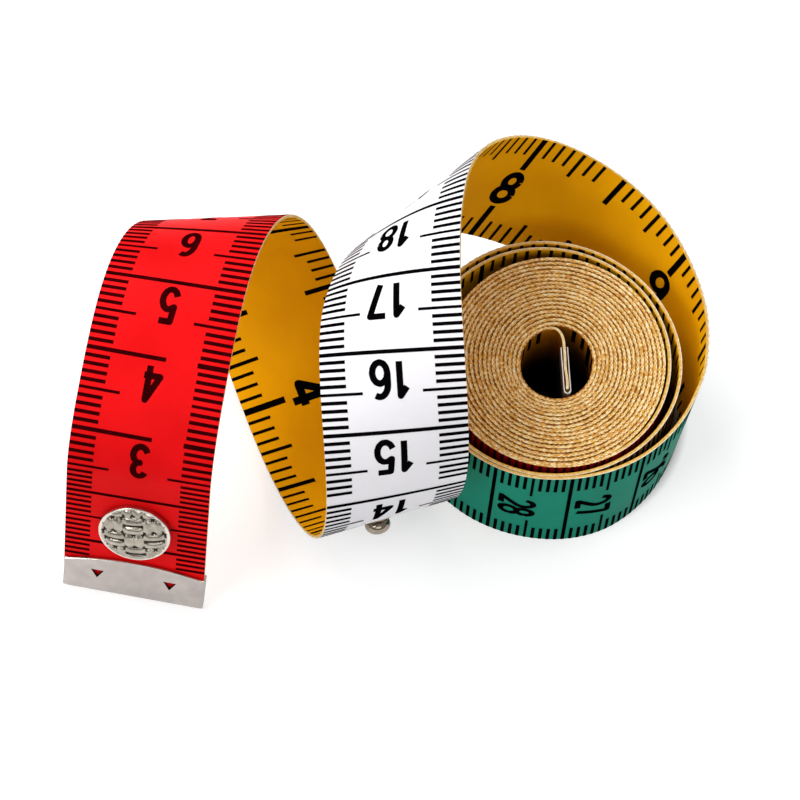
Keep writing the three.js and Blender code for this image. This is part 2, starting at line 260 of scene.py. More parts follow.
# Materials: how far the roughness wanders, how much of its colour a surface keeps at the darkest
# of its painted shade, and the height of the fine bump
ROUGH_SPREAD = 0.12
DARKEST = 0.05
BUMP_HEIGHT = 0.1
# Heights between which a surface darkens downwards as a painted shade: the two colours of the
# front deep between the turns, and the tape's back and the clip inside the bore
RED_FADES, WHITE_FADES, BACK_FADES, CLIP_FADES = (10.0, 20.0), (8.0, 19.0), (9.0, 18.2), (15.5, 18.0)


def srgb(r, g, b):
    """A colour of 0 to 255 as the linear colour that a shader takes."""
    linear = []
    for c in (r / 255, g / 255, b / 255):
        linear.append(c / 12.92 if c <= 0.04045 else ((c + 0.055) / 1.055) ** 2.4)
    return (*linear, 1.0)


def fade_down(nodes, links, place, color, fades):
    """A colour that darkens downwards between two heights, a painted shade."""
    height = nodes.new("ShaderNodeSeparateXYZ")
    lit = nodes.new("ShaderNodeMapRange")
    scaled = nodes.new("ShaderNodeVectorMath")
    scaled.operation = "SCALE"
    lit.inputs["From Min"].default_value = fades[0] * MM
    lit.inputs["From Max"].default_value = fades[1] * MM
    lit.inputs["To Min"].default_value = DARKEST
    links.new(place, height.inputs["Vector"])
    links.new(height.outputs["Z"], lit.inputs["Value"])
    links.new(color, scaled.inputs[0])
    links.new(lit.outputs["Result"], scaled.inputs["Scale"])
    return scaled.outputs["Vector"]


def fine_bump(nodes, links, place, strength, scale):
    """The normal of a surface with a fine bump."""
    fine = nodes.new("ShaderNodeTexNoise")
    fine.inputs["Scale"].default_value = scale
    fine.inputs["Detail"].default_value = 2.0
    links.new(place, fine.inputs["Vector"])
    bump = nodes.new("ShaderNodeBump")
    bump.inputs["Strength"].default_value = strength
    bump.inputs["Distance"].default_value = BUMP_HEIGHT * MM
    links.new(fine.outputs["Fac"], bump.inputs["Height"])
    return bump.outputs["Normal"]


def shader(name, color, dark, rough=0.4, metal=0.0, scale=600.0, bump=0.0, bump_scale=2500.0,
           specular=0.04, fades=None):
    """A surface whose colour and roughness wander between two values, with a fine bump.
    Between the two heights of fades it darkens downwards as a painted shade."""
    material = bpy.data.materials.new(name)
    material.use_nodes = True
    nodes, links = material.node_tree.nodes, material.node_tree.links
    surface = nodes["Principled BSDF"]
    surface.inputs["Metallic"].default_value = metal
    surface.inputs["Specular IOR Level"].default_value = specular
    place = nodes.new("ShaderNodeTexCoord").outputs["Object"]
    noise = nodes.new("ShaderNodeTexNoise")
    noise.inputs["Scale"].default_value = scale
    noise.inputs["Detail"].default_value = 4.0
    links.new(place, noise.inputs["Vector"])
    ramp = nodes.new("ShaderNodeValToRGB")
    ramp.color_ramp.elements[0].position = 0.3
    ramp.color_ramp.elements[1].position = 0.7
    ramp.color_ramp.elements[0].color = dark
    ramp.color_ramp.elements[1].color = color
    links.new(noise.outputs["Fac"], ramp.inputs["Fac"])
    base = ramp.outputs["Color"]
    if fades:
        base = fade_down(nodes, links, place, base, fades)
    links.new(base, surface.inputs["Base Color"])
    spread = nodes.new("ShaderNodeMapRange")
    spread.inputs["To Min"].default_value = rough * (1 - ROUGH_SPREAD)
    spread.inputs["To Max"].default_value = rough * (1 + ROUGH_SPREAD)
    links.new(noise.outputs["Fac"], spread.inputs["Value"])
    links.new(spread.outputs["Result"], surface.inputs["Roughness"])
    if bump:
        normal = fine_bump(nodes, links, place, bump, bump_scale)
        links.new(normal, surface.inputs["Normal"])
    return material


RED = shader("red_face", srgb(232, 16, 20), srgb(216, 10, 14), 0.5, scale=120, bump=0.12)
WHITE = shader("white_face", srgb(244, 242, 245), srgb(238, 236, 240), 0.5, scale=120, bump=0.12)
GREEN = shader("green_face", srgb(12, 138, 112), srgb(8, 126, 102), 0.5, scale=120, bump=0.12)
YELLOW = shader("yellow_back", srgb(250, 180, 6), srgb(238, 166, 3), 0.5, scale=120, bump=0.12)
EDGE_FRONT = shader("edge_front_layer", srgb(250, 236, 208), srgb(218, 190, 144), 0.55, scale=2200)
CREAM = shader("cut_edge", srgb(236, 204, 136), srgb(186, 142, 68), 0.6, scale=2600, bump=0.4,
               bump_scale=4000)
EDGE_BACK = shader("edge_back_layer", srgb(232, 176, 60), srgb(190, 130, 32), 0.55, scale=2200)
ROLL_LIGHT = shader("roll_light_thread", srgb(246, 228, 188), srgb(226, 194, 124), 0.6, scale=1800)
ROLL_OCHRE = shader("roll_ochre_core", srgb(226, 178, 86), srgb(196, 134, 74), 0.6, scale=1800,
                    bump=0.4, bump_scale=4000)
# The back layer of the roll's cut edge, darker than the tape's own back edge: painted shade of the
# gaps between the turns
ROLL_BACK_SHADE = shader("roll_back_layer_painted_shade", srgb(164, 108, 42), srgb(116, 70, 26), 0.6, scale=1800)
# Darker copies of the red and the white front where it lies between the turns, which darken further
# downwards, and a brown for the front deeper in the roll: painted shade
SHADE_RED = shader("red_painted_shade_between_turns", srgb(176, 8, 26), srgb(146, 6, 18), 0.7, scale=200,
                   fades=RED_FADES)
SHADE_WHITE = shader("white_painted_shade_between_turns", srgb(150, 128, 104), srgb(120, 100, 80), 0.7, scale=200,
                     fades=WHITE_FADES)
SHADE = shader("shade_between_turns", srgb(112, 72, 30), srgb(74, 44, 16), 0.7, scale=400)
# The yellow back where it lies in the bore, a darker copy that darkens further downwards: painted
# shade
BORE = shader("back_painted_shade_in_the_bore", srgb(186, 112, 10), srgb(146, 84, 6), 0.6, scale=200,
              fades=BACK_FADES)
INK = shader("ink", srgb(8, 6, 8), srgb(4, 3, 4), 0.8, scale=400, specular=0.0)
INK_RED = shader("ink_on_red", srgb(60, 3, 6), srgb(38, 2, 4), 0.8, scale=400, specular=0.0)
# The nickel of the clip in the bore, which darkens downwards: painted shade
CLIP_SHADED_IN_BORE = shader("clip_nickel_painted_shade_in_the_bore", srgb(216, 210, 204), srgb(196, 190, 184), 0.4, 0.85,
                      scale=500, specular=0.5, fades=CLIP_FADES)
CLIP = shader("clip_nickel", srgb(190, 182, 177), srgb(172, 164, 159), 0.46, 0.85, scale=500,
              bump=0.15, bump_scale=1500, specular=0.5)
NICKEL = shader("snap_nickel", srgb(214, 208, 198), srgb(196, 190, 180), 0.24, 1.0, scale=300,
                bump=0.05, specular=0.5)
CAP = shader("cap_nickel", srgb(176, 169, 156), srgb(142, 136, 124), 0.26, 1.0, scale=900,
             bump=0.1, specular=0.5)
BALL = shader("stud_nickel", srgb(160, 148, 134), srgb(128, 116, 102), 0.16, 1.0, scale=700,
              specular=0.5)
# A dark metal for the hollows of the cap and the cuts of the clip: painted shade
RECESS_SHADE = shader("snap_recess_painted_shade", srgb(66, 60, 52), srgb(38, 34, 30), 0.5, 0.7, scale=500)
TAPE_MATS = [RED, WHITE, GREEN, YELLOW, EDGE_FRONT, CREAM, EDGE_BACK]
RED_INDEX, WHITE_INDEX, GREEN_INDEX = 0, 1, 2
YELLOW_INDEX, FRONT_EDGE_INDEX, CORE_INDEX, BACK_EDGE_INDEX = 3, 4, 5, 6
RISE_MATS = TAPE_MATS + [SHADE_RED, SHADE_WHITE]
# Printed place past which the front lies deep between the turns and takes a painted shade
PAINTED_SHADE_FROM = 356.0
# The roll's tight turns: painted shade on their fronts and backs and on the back layer of their cut
# edge
ROLL_MATS = [SHADE_RED, SHADE, SHADE, BORE, ROLL_LIGHT, ROLL_OCHRE, ROLL_BACK_SHADE]

# The front changes colour at every tenth centimetre
DECADE = 100
FACES = (RED_INDEX, WHITE_INDEX, GREEN_INDEX, WHITE_INDEX)


def decade(s):
    """Index of the front's colour at a printed place."""
    return FACES[int(s // DECADE) % len(FACES)]


# Meshes
def new_object(name, verts, faces, mats, mat_of=None, smooth=True):
    """A mesh object, with the index of each face's material where there are several."""
    mesh = bpy.data.meshes.new(name)
    mesh.from_pydata(verts, [], faces)
    for m in mats:
        mesh.materials.append(m)
    if mat_of:
        mesh.polygons.foreach_set("material_index", mat_of)
    mesh.polygons.foreach_set("use_smooth", [smooth] * len(mesh.polygons))
    mesh.update()
    piece = bpy.data.objects.new(name, mesh)
    bpy.context.scene.collection.objects.link(piece)
    return piece


def fix_normals(piece, merge=0.0):
    """Turns all faces outwards, and first merges points nearer than a distance."""
    bm = bmesh.new()
    bm.from_mesh(piece.data)
    if merge:
        bmesh.ops.remove_doubles(bm, verts=bm.verts, dist=merge)
    bmesh.ops.recalc_face_normals(bm, faces=bm.faces)
    bm.to_mesh(piece.data)
    bm.free()


def apply_modifier(piece, modifier):
    bpy.context.view_layer.objects.active = piece
    bpy.ops.object.modifier_apply(modifier=modifier.name)


def split_edges(piece, degrees):
    """Keeps the edges sharper than an angle crisp under smooth shading."""
    modifier = piece.modifiers.new("edges", "EDGE_SPLIT")
    modifier.split_angle = math.radians(degrees)
    apply_modifier(piece, modifier)


# Share of the beads on the cut edge that break the order of two colours
BEADS_MIXED = 0.2
# Angle in degrees past which an edge of the tape stays crisp
TAPE_CRISP = 50


def tape_piece(name, s_from, s_to, step, thick, cols=14, layer_share=0.22, mats=TAPE_MATS,
               mixed=False):
    """A stretch of tape as a closed strip whose front, edges and back have their own
    materials. Rows run along the printed places, so that the colours end square."""
    rows = max(2, int(math.ceil((s_to - s_from) / step)))
    half = thick / 2
    layer = thick * layer_share
    ring = [(-HALF + WIDTH * j / cols, half) for j in range(cols + 1)]
    ring += [(HALF, half - layer), (HALF, -half + layer)]
    ring += [(HALF - WIDTH * j / cols, -half) for j in range(cols + 1)]
    ring += [(-HALF, -half + layer), (-HALF, half - layer)]
    n = len(ring)
    front, core, back = FRONT_EDGE_INDEX, CORE_INDEX, BACK_EDGE_INDEX
    kinds = [None] * cols + [front, core, back] + [YELLOW_INDEX] * cols + [back, core, front]
    beads = {front: (front, core), core: (core, front), back: (core, back)}
    verts, faces, index = [], [], []
    for i in range(rows + 1):
        s = s_from + (s_to - s_from) * i / rows
        for across, lift in ring:
            verts.append(on_tape(s, across, lift))
    for i in range(rows):
        middle = s_from + (s_to - s_from) * (i + 0.5) / rows
        color = decade(middle)
        # Past this place the front of the outer turns takes the darker copies, a painted shade
        # between the turns
        if middle > PAINTED_SHADE_FROM and mats is RISE_MATS:
            color += len(TAPE_MATS)
        for j in range(n):
            k = (j + 1) % n
            faces.append((i * n + j, i * n + k, (i + 1) * n + k, (i + 1) * n + j))
            kind = color if kinds[j] is None else kinds[j]
            if mixed and kind in beads:
                kind = beads[kind][(i + (random.random() < BEADS_MIXED)) % 2]
            index.append(kind)
    faces.append(tuple(reversed(range(n))))
    faces.append(tuple(rows * n + j for j in range(n)))
    index += [core, core]
    piece = new_object(name, verts, faces, mats, index)
    fix_normals(piece)
    split_edges(piece, TAPE_CRISP)
    return piece


# Printing
INK_LIFT = 0.03


class Print:
    """Thin printed marks that lie on one face of the tape."""

    def __init__(self, side, thick):
        self.verts, self.faces, self.index = [], [], []
        self.lift = side * (thick / 2 + INK_LIFT)

    def quad(self, corners, ink=0):
        """One face, from its corners as printed place and distance across."""
        i = len(self.verts)
        self.verts += [on_tape(s, across, self.lift) for s, across in corners]
        self.faces.append(tuple(range(i, i + len(corners))))
        self.index.append(ink)

    def bar(self, s, a0, a1, wide, ink=0):
        """A straight mark across the tape, in short faces so that it follows the bend."""
        n = max(1, int(math.ceil(abs(a1 - a0))))
        for i in range(n):
            x0 = a0 + (a1 - a0) * i / n
            x1 = a0 + (a1 - a0) * (i + 1) / n
            low, high = s - wide / 2, s + wide / 2
            self.quad([(low, x0), (high, x0), (high, x1), (low, x1)], ink)

    def stroke(self, pts, wide, ink=0):
        """A pen stroke through points, with round joints."""
        for (s0, a0), (s1, a1) in zip(pts[:-1], pts[1:]):
            d = math.hypot(s1 - s0, a1 - a0)
            if d < 1e-6:
                continue
            ns, na = -(a1 - a0) / d * wide / 2, (s1 - s0) / d * wide / 2
            self.quad([(s0 - ns, a0 - na), (s0 + ns, a0 + na),
                       (s1 + ns, a1 + na), (s1 - ns, a1 - na)], ink)
        for s, a in pts[1:-1]:
            corners = []
            for k in range(8):
                turn = k * math.pi / 4
                corners.append((s + wide / 2 * math.cos(turn), a + wide / 2 * math.sin(turn)))
            self.quad(corners, ink)

    def make(self, name, inks):
        return new_object(name, self.verts, self.faces, inks, self.index, smooth=False)


def arc(cx, cy, rx, ry, a0, a1, n):
    """Points of an ellipse's arc between two angles in degrees."""
    turns = [math.radians(a0 + (a1 - a0) * i / n) for i in range(n + 1)]
    return [(cx + rx * math.cos(a), cy + ry * math.sin(a)) for a in turns]


def line(x0, y0, x1, y1, n=4):
    """Points of a straight line."""
    return [(x0 + (x1 - x0) * i / n, y0 + (y1 - y0) * i / n) for i in range(n + 1)]


# Numerals as strokes in a box of this width and height, and where the box's middle lies
GLYPH_WIDE, GLYPH_HIGH, GLYPH_MIDDLE = 0.52, 0.84, 0.27
GLYPHS = {
    "0": [arc(0.26, 0.58, 0.26, 0.26, 0, 180, 8) + arc(0.26, 0.26, 0.26, 0.26, 180, 360, 8)
          + [(0.52, 0.58)]],
    "1": [line(0.08, 0.62, 0.3, 0.84, 2) + line(0.3, 0.84, 0.3, 0.0, 5)[1:]],
    "2": [arc(0.26, 0.58, 0.26, 0.26, 165, -35, 8) + line(0.47, 0.42, 0.0, 0.0, 4)[1:]
          + line(0.0, 0.0, 0.54, 0.0, 3)[1:]],
    "3": [arc(0.25, 0.63, 0.23, 0.21, 160, -90, 8) + arc(0.25, 0.22, 0.27, 0.22, 90, -160, 9)],
    "4": [line(0.42, 0.0, 0.42, 0.84, 5) + line(0.42, 0.84, 0.0, 0.24, 5)[1:]
          + line(0.0, 0.24, 0.6, 0.24, 4)[1:]],
    "5": [line(0.5, 0.84, 0.08, 0.84, 3) + line(0.08, 0.84, 0.04, 0.46, 3)[1:]
          + arc(0.25, 0.27, 0.27, 0.27, 135, -160, 10)],
    "6": [arc(0.3, 0.54, 0.28, 0.3, 60, 180, 6) + line(0.02, 0.54, 0.02, 0.27, 2)[1:]
          + arc(0.27, 0.26, 0.25, 0.26, 180, 540, 12)],
    "7": [line(0.0, 0.84, 0.52, 0.84, 3) + line(0.52, 0.84, 0.18, 0.0, 5)[1:]],
    "8": [arc(0.26, 0.63, 0.22, 0.21, 0, 360, 12), arc(0.26, 0.22, 0.26, 0.22, 0, 360, 12)],
    "9": [arc(0.22, 0.3, 0.28, 0.3, 240, 360, 6) + line(0.5, 0.3, 0.5, 0.57, 2)[1:]
          + arc(0.25, 0.58, 0.25, 0.26, 0, 360, 12)],
}


def number(marks, text, s, across, font, wide, head_to_tip, ink=0):
    """Prints a number centred on a place, its head towards the tip or the upper edge. The
    font is a height, the pitch of the digits and the weight of a stroke."""
    high, pitch, weight = font
    for i, digit in enumerate(text):
        middle = pitch * (i + 0.5 - len(text) / 2)
        for path in GLYPHS[digit]:
            pts = []
            for x, y in path:
                gx = middle + (x - GLYPH_MIDDLE) * wide / GLYPH_WIDE
                gy = y * high / GLYPH_HIGH - high / 2
                pts.append((s - gy, across - gx) if head_to_tip else (s + gx, across + gy))
            marks.stroke(pts, weight, ink)


# Nothing is printed nearer to the tip than this
BARE_TO = 7
# Centimetre side, with the lower edge first where the two edges differ. Two of the lines stop
# short and one of the half-centimetre marks is as short as its neighbours
CM = 10
CM_WIDE, FIVE_WIDE, MILLI_WIDE = 0.5, 0.36, 0.45
FIVE_REACH, MILLI_REACH = (5.2, 5.4), (3.2, 3.7)
SHORT_LINES, SHORT_LINE_TO, SHORT_LINE_REACH, SHORT_LINE_WIDE = (30, 40), 1.1, 3.9, (0.52, 0.62)
SHORT_FIVE = 35
# A mark is left out where it would cross the end of its stretch
MARK_ROOM, INCH_MARK_ROOM, NUMERAL_ROOM = 0.3, 0.6, 6.4
# Numerals: a height, the pitch of the digits and the weight of a stroke
CM_FONT, INCH_FONT = (4.25, 2.55, 0.8), (4.9, 3.4, 1.05)
INCH_NUMERAL_WIDE = 2.6
# Centimetre numerals: which there are, how far they stand back from their line, those near the
# tip a little less, and the place across and the width of a digit for one digit and for two
FIRST_NUMERAL, LAST_NUMERAL, TIP_NUMERALS = 3, 59, 5
TIP_NUMERAL_BACK, NUMERAL_BACK = 3.15, 3.4
ONE_DIGIT, TWO_DIGITS = (-0.1, 1.75), (-0.3, 1.95)
# Inch side: every so many sixteenths, the reach of a mark from the edge and its width
SIXTEENTH = 25.4 / 16
INCH_MARKS = [(16, 5.6, 0.88), (8, 5.0, 0.7), (4, 4.2, 0.5), (1, 3.0, 0.44)]


def ink_at(s):
    """Which of the two inks a mark takes: the second one is for the red."""
    return 1 if decade(s) == RED_INDEX else 0


def print_front(name, s_from, s_to, thick, numerals=True):
    """Centimetres: a line across at each, millimetre marks along both edges."""
    marks = Print(1, thick)
    for s in range(max(BARE_TO, int(math.ceil(s_from))), int(s_to) + 1):
        if s + MARK_ROOM > s_to or s - MARK_ROOM < s_from:
            continue
        ink = ink_at(s - 0.5)
        if s in SHORT_LINES:
            marks.bar(s, -HALF, SHORT_LINE_TO, SHORT_LINE_WIDE[0], ink)
            marks.bar(s, HALF, HALF - SHORT_LINE_REACH, SHORT_LINE_WIDE[1], ink)
        elif s % CM == 0:
            marks.bar(s, -HALF, HALF, CM_WIDE, ink)
        else:
            five = s % (CM // 2) == 0
            wide = FIVE_WIDE if five else MILLI_WIDE
            lower = FIVE_REACH[0] if five else MILLI_REACH[0]
            upper = FIVE_REACH[1] if five and s != SHORT_FIVE else MILLI_REACH[1]
            marks.bar(s, -HALF, -HALF + lower, wide, ink)
            marks.bar(s, HALF, HALF - upper, wide, ink)
    if numerals:
        for c in range(FIRST_NUMERAL, LAST_NUMERAL + 1):
            s = c * CM
            if s - NUMERAL_ROOM < s_from or s > s_to:
                continue
            back = TIP_NUMERAL_BACK if c <= TIP_NUMERALS else NUMERAL_BACK
            across, wide = TWO_DIGITS if c > 9 else ONE_DIGIT
            number(marks, str(c), s - back, across, CM_FONT, wide, True, ink_at(s - 3))
    return marks.make(name, [INK, INK_RED])


def print_back(name, s_from, s_to, thick, numerals=True, bold=1.0):
    """Inches: marks at each sixteenth along both edges."""
    marks = Print(-1, thick)
    for k in range(int(math.ceil(s_from / SIXTEENTH)), int(s_to / SIXTEENTH) + 1):
        s = k * SIXTEENTH
        if s < BARE_TO or s + INCH_MARK_ROOM > s_to or s - INCH_MARK_ROOM < s_from:
            continue
        _, reach, wide = next(row for row in INCH_MARKS if k % row[0] == 0)
        marks.bar(s, -HALF, -HALF + reach, wide * bold)
        marks.bar(s, HALF, HALF - reach, wide * bold)
        if k % 16 == 0 and numerals:
            number(marks, str(k // 16), s, 0.0, INCH_FONT, INCH_NUMERAL_WIDE, False)
    return marks.make(name, [INK])


# The tape, in stretches that meet at these printed places
TIP_START, MIDDLE_START, CREST_START = 0.7, 81.0, 141.0
# Length of a row of faces along the free end, the outer turns and the tight turns, and the
# share of the thickness that each outer layer of the tight turns takes
ROW, TURNS_ROW, TIGHT_ROW = 0.8, 0.9, 0.31
TIGHT_LAYER = 0.34
# How far the marks go that show on the tight turns: the centimetres on the outermost one, and
# the inches in the bore, which look bolder there
TIGHT_FRONT_MARKS, BORE_MARKS, BORE_END, BORE_BOLD = 92, 31, 0.5, 1.45
# Stretches of the free end, each with the two bodies and the two places of the joint that it
# bends over, its slot, and the solid that it stands for
STRETCHES = [
    ("tape_tip", TIP_START, MIDDLE_START, "red_run", "yellow_run", 42, 58, "tape_red", "tape_red"),
    ("tape_middle", MIDDLE_START, CREST_START, "yellow_run", "white_run", 104, 120, "tape_white",
     "tape_yellow"),
    ("tape_crest", CREST_START, RISE_FROM, "white_run", "roll", 160, 180, "tape_white",
     "tape_white"),
]
for name, s0, s1, body_a, body_b, bend_from, bend_to, slot_name, node in STRETCHES:
    tape = tape_piece(name, s0, s1, ROW, THICK)
    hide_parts(node)
    front = print_front(name + "_front_print", s0, s1, THICK)
    back = print_back(name + "_back_print", s0, s1, THICK)
    for piece in (tape, front, back):
        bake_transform(piece)

rise = tape_piece("tape_outer_turns", RISE_FROM, LOOSE_TO, TURNS_ROW, THICK, mats=RISE_MATS)
rise_front = print_front("tape_outer_turns_front_print", RISE_FROM, LOOSE_TO, THICK)
rise_back = print_back("tape_outer_turns_back_print", RISE_FROM, LOOSE_TO, THICK)
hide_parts("tape_rise", "loose_turns")

tight = tape_piece("tape_tight_turns", LOOSE_TO, TAPE_END, TIGHT_ROW, TIGHT_THICK, cols=1,
                   layer_share=TIGHT_LAYER, mats=ROLL_MATS, mixed=True)
tight_front = print_front("tape_tight_turns_front_print", LOOSE_TO, LOOSE_TO + TIGHT_FRONT_MARKS,
                          TIGHT_THICK, numerals=False)
tight_back = print_back("tape_tight_turns_back_print", TAPE_END - BORE_MARKS, TAPE_END - BORE_END,
                        TIGHT_THICK, numerals=False, bold=BORE_BOLD)
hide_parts("tight_roll")
for piece in (rise, rise_front, rise_back, tight, tight_front, tight_back):
    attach(piece, "roll")

# The inner end of the tape, which leaves the wall of the bore and runs across it into its clip
INNER_TOP = Vector((0.78, 2.8, 0))
INNER_END = Vector((1.95, -4.4, 0))
INNER_ALONG = (INNER_END - INNER_TOP).normalized()
# How straight it leaves the wall and comes to its top, how far the clip covers it, half of its
# thickness, and how far it waves to the sides
INNER_LEAVE, INNER_ARRIVE = 3.0, 2.4
INNER_COVERED, INNER_HALF, INNER_WAVE = 0.75, 0.17, 0.09


def hermite(p0, d0, p1, d1, f):
    """The point at a share of a curve between two points with given directions."""
    return (p0 * (2 * f ** 3 - 3 * f ** 2 + 1) + d0 * (f ** 3 - 2 * f ** 2 + f)
            + p1 * (3 * f ** 2 - 2 * f ** 3) + d1 * (f ** 3 - f ** 2))


def inner_end():
    """The inner end as a narrow strip on edge, bent out of the wall and then nearly straight."""
    last, before = ROWS[-1][1], ROWS[-2][1]
    origin = Vector((last.x, last.y, 0))
    leave = Vector((last.x - before.x, last.y - before.y, 0)).normalized()
    side = Vector((-INNER_ALONG.y, INNER_ALONG.x, 0))
    pts = [hermite(origin, leave * INNER_LEAVE, INNER_TOP, INNER_ALONG * INNER_ARRIVE, i / 16)
           for i in range(17)]
    reach = (INNER_END - INNER_TOP).length - INNER_COVERED
    for i in range(1, 15):
        f = i / 14
        wave = side * (INNER_WAVE * math.sin(9.5 * f) * f)
        pts.append(INNER_TOP + INNER_ALONG * (reach * f) + wave)
    verts, faces, index = [], [], []
    for i, p in enumerate(pts):
        t = (pts[min(i + 1, len(pts) - 1)] - pts[max(i - 1, 0)]).normalized()
        n = Vector((0, 0, 1)).cross(t)
        for z, lift in ((0, INNER_HALF), (WIDTH, INNER_HALF), (WIDTH, -INNER_HALF), (0, -INNER_HALF)):
            verts.append((p + n * lift + Vector((0, 0, z)) + SHIFT) * MM)
    # The front takes the roll's painted shade and the back the painted shade of the bore
    kinds = [WHITE_INDEX, FRONT_EDGE_INDEX, YELLOW_INDEX, CORE_INDEX]
    for i in range(len(pts) - 1):
        for j in range(4):
            k = (j + 1) % 4
            faces.append((i * 4 + j, i * 4 + k, (i + 1) * 4 + k, (i + 1) * 4 + j))
            index.append(kinds[j])
    faces += [(3, 2, 1, 0), tuple(len(verts) - 4 + j for j in range(4))]
    index += [CORE_INDEX, CORE_INDEX]
    piece = new_object("tape_inner_tail", verts, faces, ROLL_MATS, index, smooth=False)
    fix_normals(piece)
    return piece


tail = inner_end()
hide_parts("tape_inner_end")
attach(tail, "roll")


# Metal clips. Each has the sheet's inner and outer distance from the middle of the tape, the
# clip's depth, and the bow of its edge. The one at the tip sits a little askew, in degrees
TIP_CLIP = (0.32, 0.72, 6.0, 1.4)
INNER_CLIP = (0.36, 0.52, 6.7, 0.2)
CLIP_ASKEW = -1.5
# How far a clip stands past each edge of the tape, its share of the thickness there, and the
# rounding of its edges
CLIP_PAST, CLIP_PINCH, CLIP_ROUND, CLIP_CRISP = 0.06, 0.94, 0.1, 35
CLIP_COLUMNS = 20
# Where the teeth are along the clip, the outline of one, and how deep it is cut
TOOTH_PLACE = CLIP_DEPTH * 0.68
TOOTH = ((-0.84, 0.74), (0.0, -0.9), (0.84, 0.74))
TOOTH_IN, TOOTH_OUT = 0.1, 0.3
# The chamfer of the sheet's edge along the clip and through the sheet, the end of its straight
# stretch, and the least distance between two points of the outline
CLIP_CHAMFER, CLIP_STRAIGHT, CLIP_LEAST = (0.08, 0.06), 1.0, 0.015


def clip_profile(reach, inner, outer):
    """Outline of the folded sheet: out along the front, round the end, back behind."""
    along, through = CLIP_CHAMFER
    pts = [(reach, inner), (reach, outer - through), (reach - along, outer), (CLIP_STRAIGHT, outer)]
    for angle in range(0, 181, 15):
        turn = math.radians(angle)
        pts.append((outer - outer * math.sin(turn), outer * math.cos(turn)))
    pts += [(CLIP_STRAIGHT, -outer), (reach - along, -outer), (reach, -outer + through),
            (reach, -inner), (outer, -inner), (outer - inner, 0.0), (outer, inner)]
    clean = []
    for p in pts:
        if not clean or math.hypot(p[0] - clean[-1][0], p[1] - clean[-1][1]) > CLIP_LEAST:
            clean.append(p)
    return clean


def make_clip(name, matrix, body, node, sizes, metal):
    """Sheet folded over the end of the tape, with a bowed edge and two pierced teeth."""
    inner, outer, deep, bow = sizes
    half, columns = HALF + CLIP_PAST, CLIP_COLUMNS
    verts, faces, index = [], [], []
    for i in range(columns + 1):
        x = -half + 2 * half * i / columns
        end = CLIP_PINCH if i in (0, columns) else 1.0
        for y, z in clip_profile(deep + bow * (1 - (x / half) ** 2), inner, outer):
            verts.append(Vector((x, y, z * end)))
    n = len(verts) // (columns + 1)
    for i in range(columns):
        for j in range(n):
            k = (j + 1) % n
            faces.append((i * n + j, i * n + k, (i + 1) * n + k, (i + 1) * n + j))
            # The end face and chamfer of the sheet's edge take the brighter nickel, a painted
            # highlight
            index.append(2 if j < 2 else 0)
    faces.append(tuple(range(n)))
    faces.append(tuple(reversed([columns * n + j for j in range(n)])))
    index += [0, 0]
    piece = new_object(name, verts, faces, [metal, RECESS_SHADE, NICKEL], index)
    fix_normals(piece)
    rounding = piece.modifiers.new("round", "BEVEL")
    rounding.width = CLIP_ROUND
    rounding.segments = 3
    rounding.limit_method = "ANGLE"
    rounding.angle_limit = math.radians(40)
    apply_modifier(piece, rounding)
    for share in TOOTH_SHARES:
        corners = []
        for z in (inner - TOOTH_IN, outer + TOOTH_OUT):
            for x, y in TOOTH:
                corners.append(Vector((WIDTH * share + x, TOOTH_PLACE + y, z)))
        sides = [(0, 1, 2), (5, 4, 3), (0, 3, 4, 1), (1, 4, 5, 2), (2, 5, 3, 0)]
        # The cutter carries the dark recess metal, a painted shade for the cut
        cutter = new_object("cut", corners, sides, [RECESS_SHADE], None, False)
        fix_normals(cutter)
        cut = piece.modifiers.new("cut", "BOOLEAN")
        cut.operation = "DIFFERENCE"
        cut.object = cutter
        cut.solver = "EXACT"
        apply_modifier(piece, cut)
        bpy.data.objects.remove(cutter)
    piece.data.transform(matrix)
    piece.data.transform(Matrix.Scale(MM, 4))
    piece.data.polygons.foreach_set("use_smooth", [True] * len(piece.data.polygons))
    split_edges(piece, CLIP_CRISP)
    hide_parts(node)
    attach(piece, body)


askew = (Matrix.Translation((-HALF, 0, 0)) @ Matrix.Rotation(math.radians(CLIP_ASKEW), 4, "Z")
         @ Matrix.Translation((HALF, 0, 0)))
make_clip("tip_clip_sheet", place_on_tape(0) @ askew, "red_run", "tip_clip", TIP_CLIP, CLIP)
inner_across = Vector((0, 0, -1))
inner_basis = basis(inner_across, -INNER_ALONG, inner_across.cross(-INNER_ALONG),
                    Vector((INNER_END.x, INNER_END.y, HALF)) + SHIFT)
make_clip("inner_clip_sheet", inner_basis, "roll", "inner_clip", INNER_CLIP, CLIP_SHADED_IN_BORE)

# The snap's cap, a dome with a basket weave. Its tilt and the weave's turn are in degrees
CAP_FOOT, CAP_HEIGHT, CAP_RADIUS, CAP_CROWN = 0.62, 1.5, 4.58, 0.7
CAP_TILT = -7
WEAVE_CELL, WEAVE_TURN = 2.55, -7
# Place of the weave's middle in its cells
WEAVE_AT = (0.5, 0.81)
# Shares of the radius: where the dome, the weave and its hollows with painted shade end
DOME_TO, WEAVE_TO, HOLLOW_TO = 0.955, 0.945, 0.93
# Height of the weave, its level that lies on the dome, the level below which it takes a painted
# shade, and the width over which it runs out
WEAVE_HIGH, WEAVE_LEVEL, WEAVE_SHADE_LEVEL, WEAVE_RUNOUT = 0.38, 0.62, 0.36, 0.3
# Rings of the dome next to the rim that take the brighter nickel as a painted highlight, and how
# deep the cap is hollow from below
HIGHLIGHT_RINGS = 5
CAP_HOLLOW = 0.4


